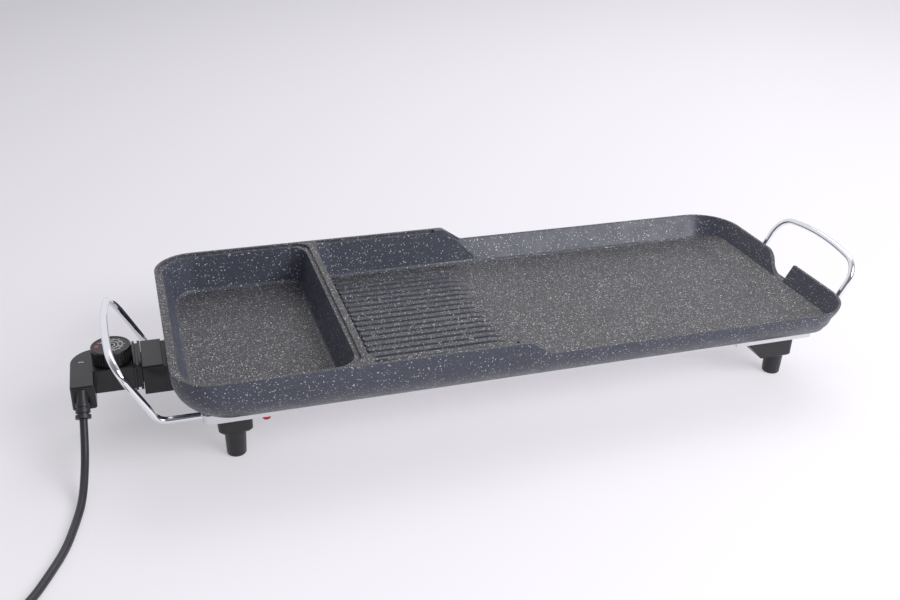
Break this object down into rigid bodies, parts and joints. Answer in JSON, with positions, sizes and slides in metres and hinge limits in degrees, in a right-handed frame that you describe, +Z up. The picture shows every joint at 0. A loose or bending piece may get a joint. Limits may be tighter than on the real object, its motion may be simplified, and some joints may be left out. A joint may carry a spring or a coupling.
{
  "type": "electric table grill",
  "caption": "Long electric table grill with a pot compartment, ribbed griddle and drain notch, on a steel tray with feet, wire handles and a plug-in thermostat controller.",
  "frame": {"origin": "on the table, at the middle of the grill's outline with its controller and handles, without the cord", "axes": "+Z up, +X along the grill from the controller end to the drain notch, -Y the front"},
  "size_m": [0.9111, 0.559, 0.1138],
  "materials": {
    "pan_coating": "die-cast, dark speckled non-stick coating",
    "steel_sheet": "bright pressed sheet",
    "foot_plastic": "satin black moulding",
    "zinc_steel": "zinc plated",
    "chrome_wire": "polished chrome plate",
    "red_plastic": "red moulding",
    "element_sheath": "dull heat-proof sheath",
    "pin_metal": "nickel plated",
    "ceramic": "white steatite",
    "black_plastic": "satin black moulding",
    "brass_parts": "plain brass",
    "probe_metal": "polished",
    "spring_metal": "rolled bimetal strip",
    "lamp_glass": "clear neon tube",
    "lens_plastic": "pale diffusing plastic",
    "lead_insulation": "brown silicone",
    "dial_plastic": "polished black",
    "dial_print": "black plate with a pale printed scale",
    "cord_rubber": "dark grey flexible cord",
    "tie_plastic": "thin black tie"
  },
  "bodies": {
    "grill": {"pan": "pan_coating", "tray": "steel_sheet", "bracket_left": "steel_sheet", "bracket_right": "steel_sheet", "foot_front_left": "foot_plastic", "foot_front_right": "foot_plastic", "foot_back_left": "foot_plastic", "foot_back_right": "foot_plastic", "foot_screws": "zinc_steel", "foot_nuts": "zinc_steel", "tray_screws": "zinc_steel", "handle_left": "chrome_wire", "handle_right": "chrome_wire", "handle_clamps": "steel_sheet", "handle_clamp_screws": "zinc_steel", "red_plug": "red_plastic", "heating_element": "element_sheath", "element_clamps": "steel_sheet", "clamp_screws": "zinc_steel", "terminal_pins": "pin_metal", "terminal_insulators": "ceramic", "probe_sleeve": "steel_sheet", "earth_clip": "steel_sheet", "socket_shroud": "black_plastic", "shroud_screws": "zinc_steel"},
    "controller": {"controller_lower_case": "black_plastic", "controller_upper_case": "black_plastic", "case_screws": "zinc_steel", "controller_collar": "black_plastic", "contact_housing": "black_plastic", "contact_sleeves": "brass_parts", "probe_rod": "probe_metal", "switch_base": "ceramic", "bimetal_blade": "spring_metal", "contact_arm": "brass_parts", "pilot_lamp": "lamp_glass", "lamp_lens": "lens_plastic", "lead_wires": "lead_insulation", "strain_relief": "cord_rubber", "cord_run": "cord_rubber", "cord_coil": "cord_rubber", "cord_tie": "tie_plastic", "plug_body": "black_plastic", "plug_pins": "pin_metal"},
    "dial": {"dial_knob": "dial_plastic", "dial_plate": "dial_print", "dial_shaft": "zinc_steel"}
  },
  "joints": [
    {"name": "controller_slide", "type": "slide", "parent": "grill", "child": "controller", "axis": [-1, 0, 0], "range_m": [0, 0.1]},
    {"name": "dial_turn", "type": "hinge", "parent": "controller", "child": "dial", "pos_m": [-0.37205, -0.013, 0], "axis": [0, 0, -1], "range_deg": [0, 270]}
  ]
}
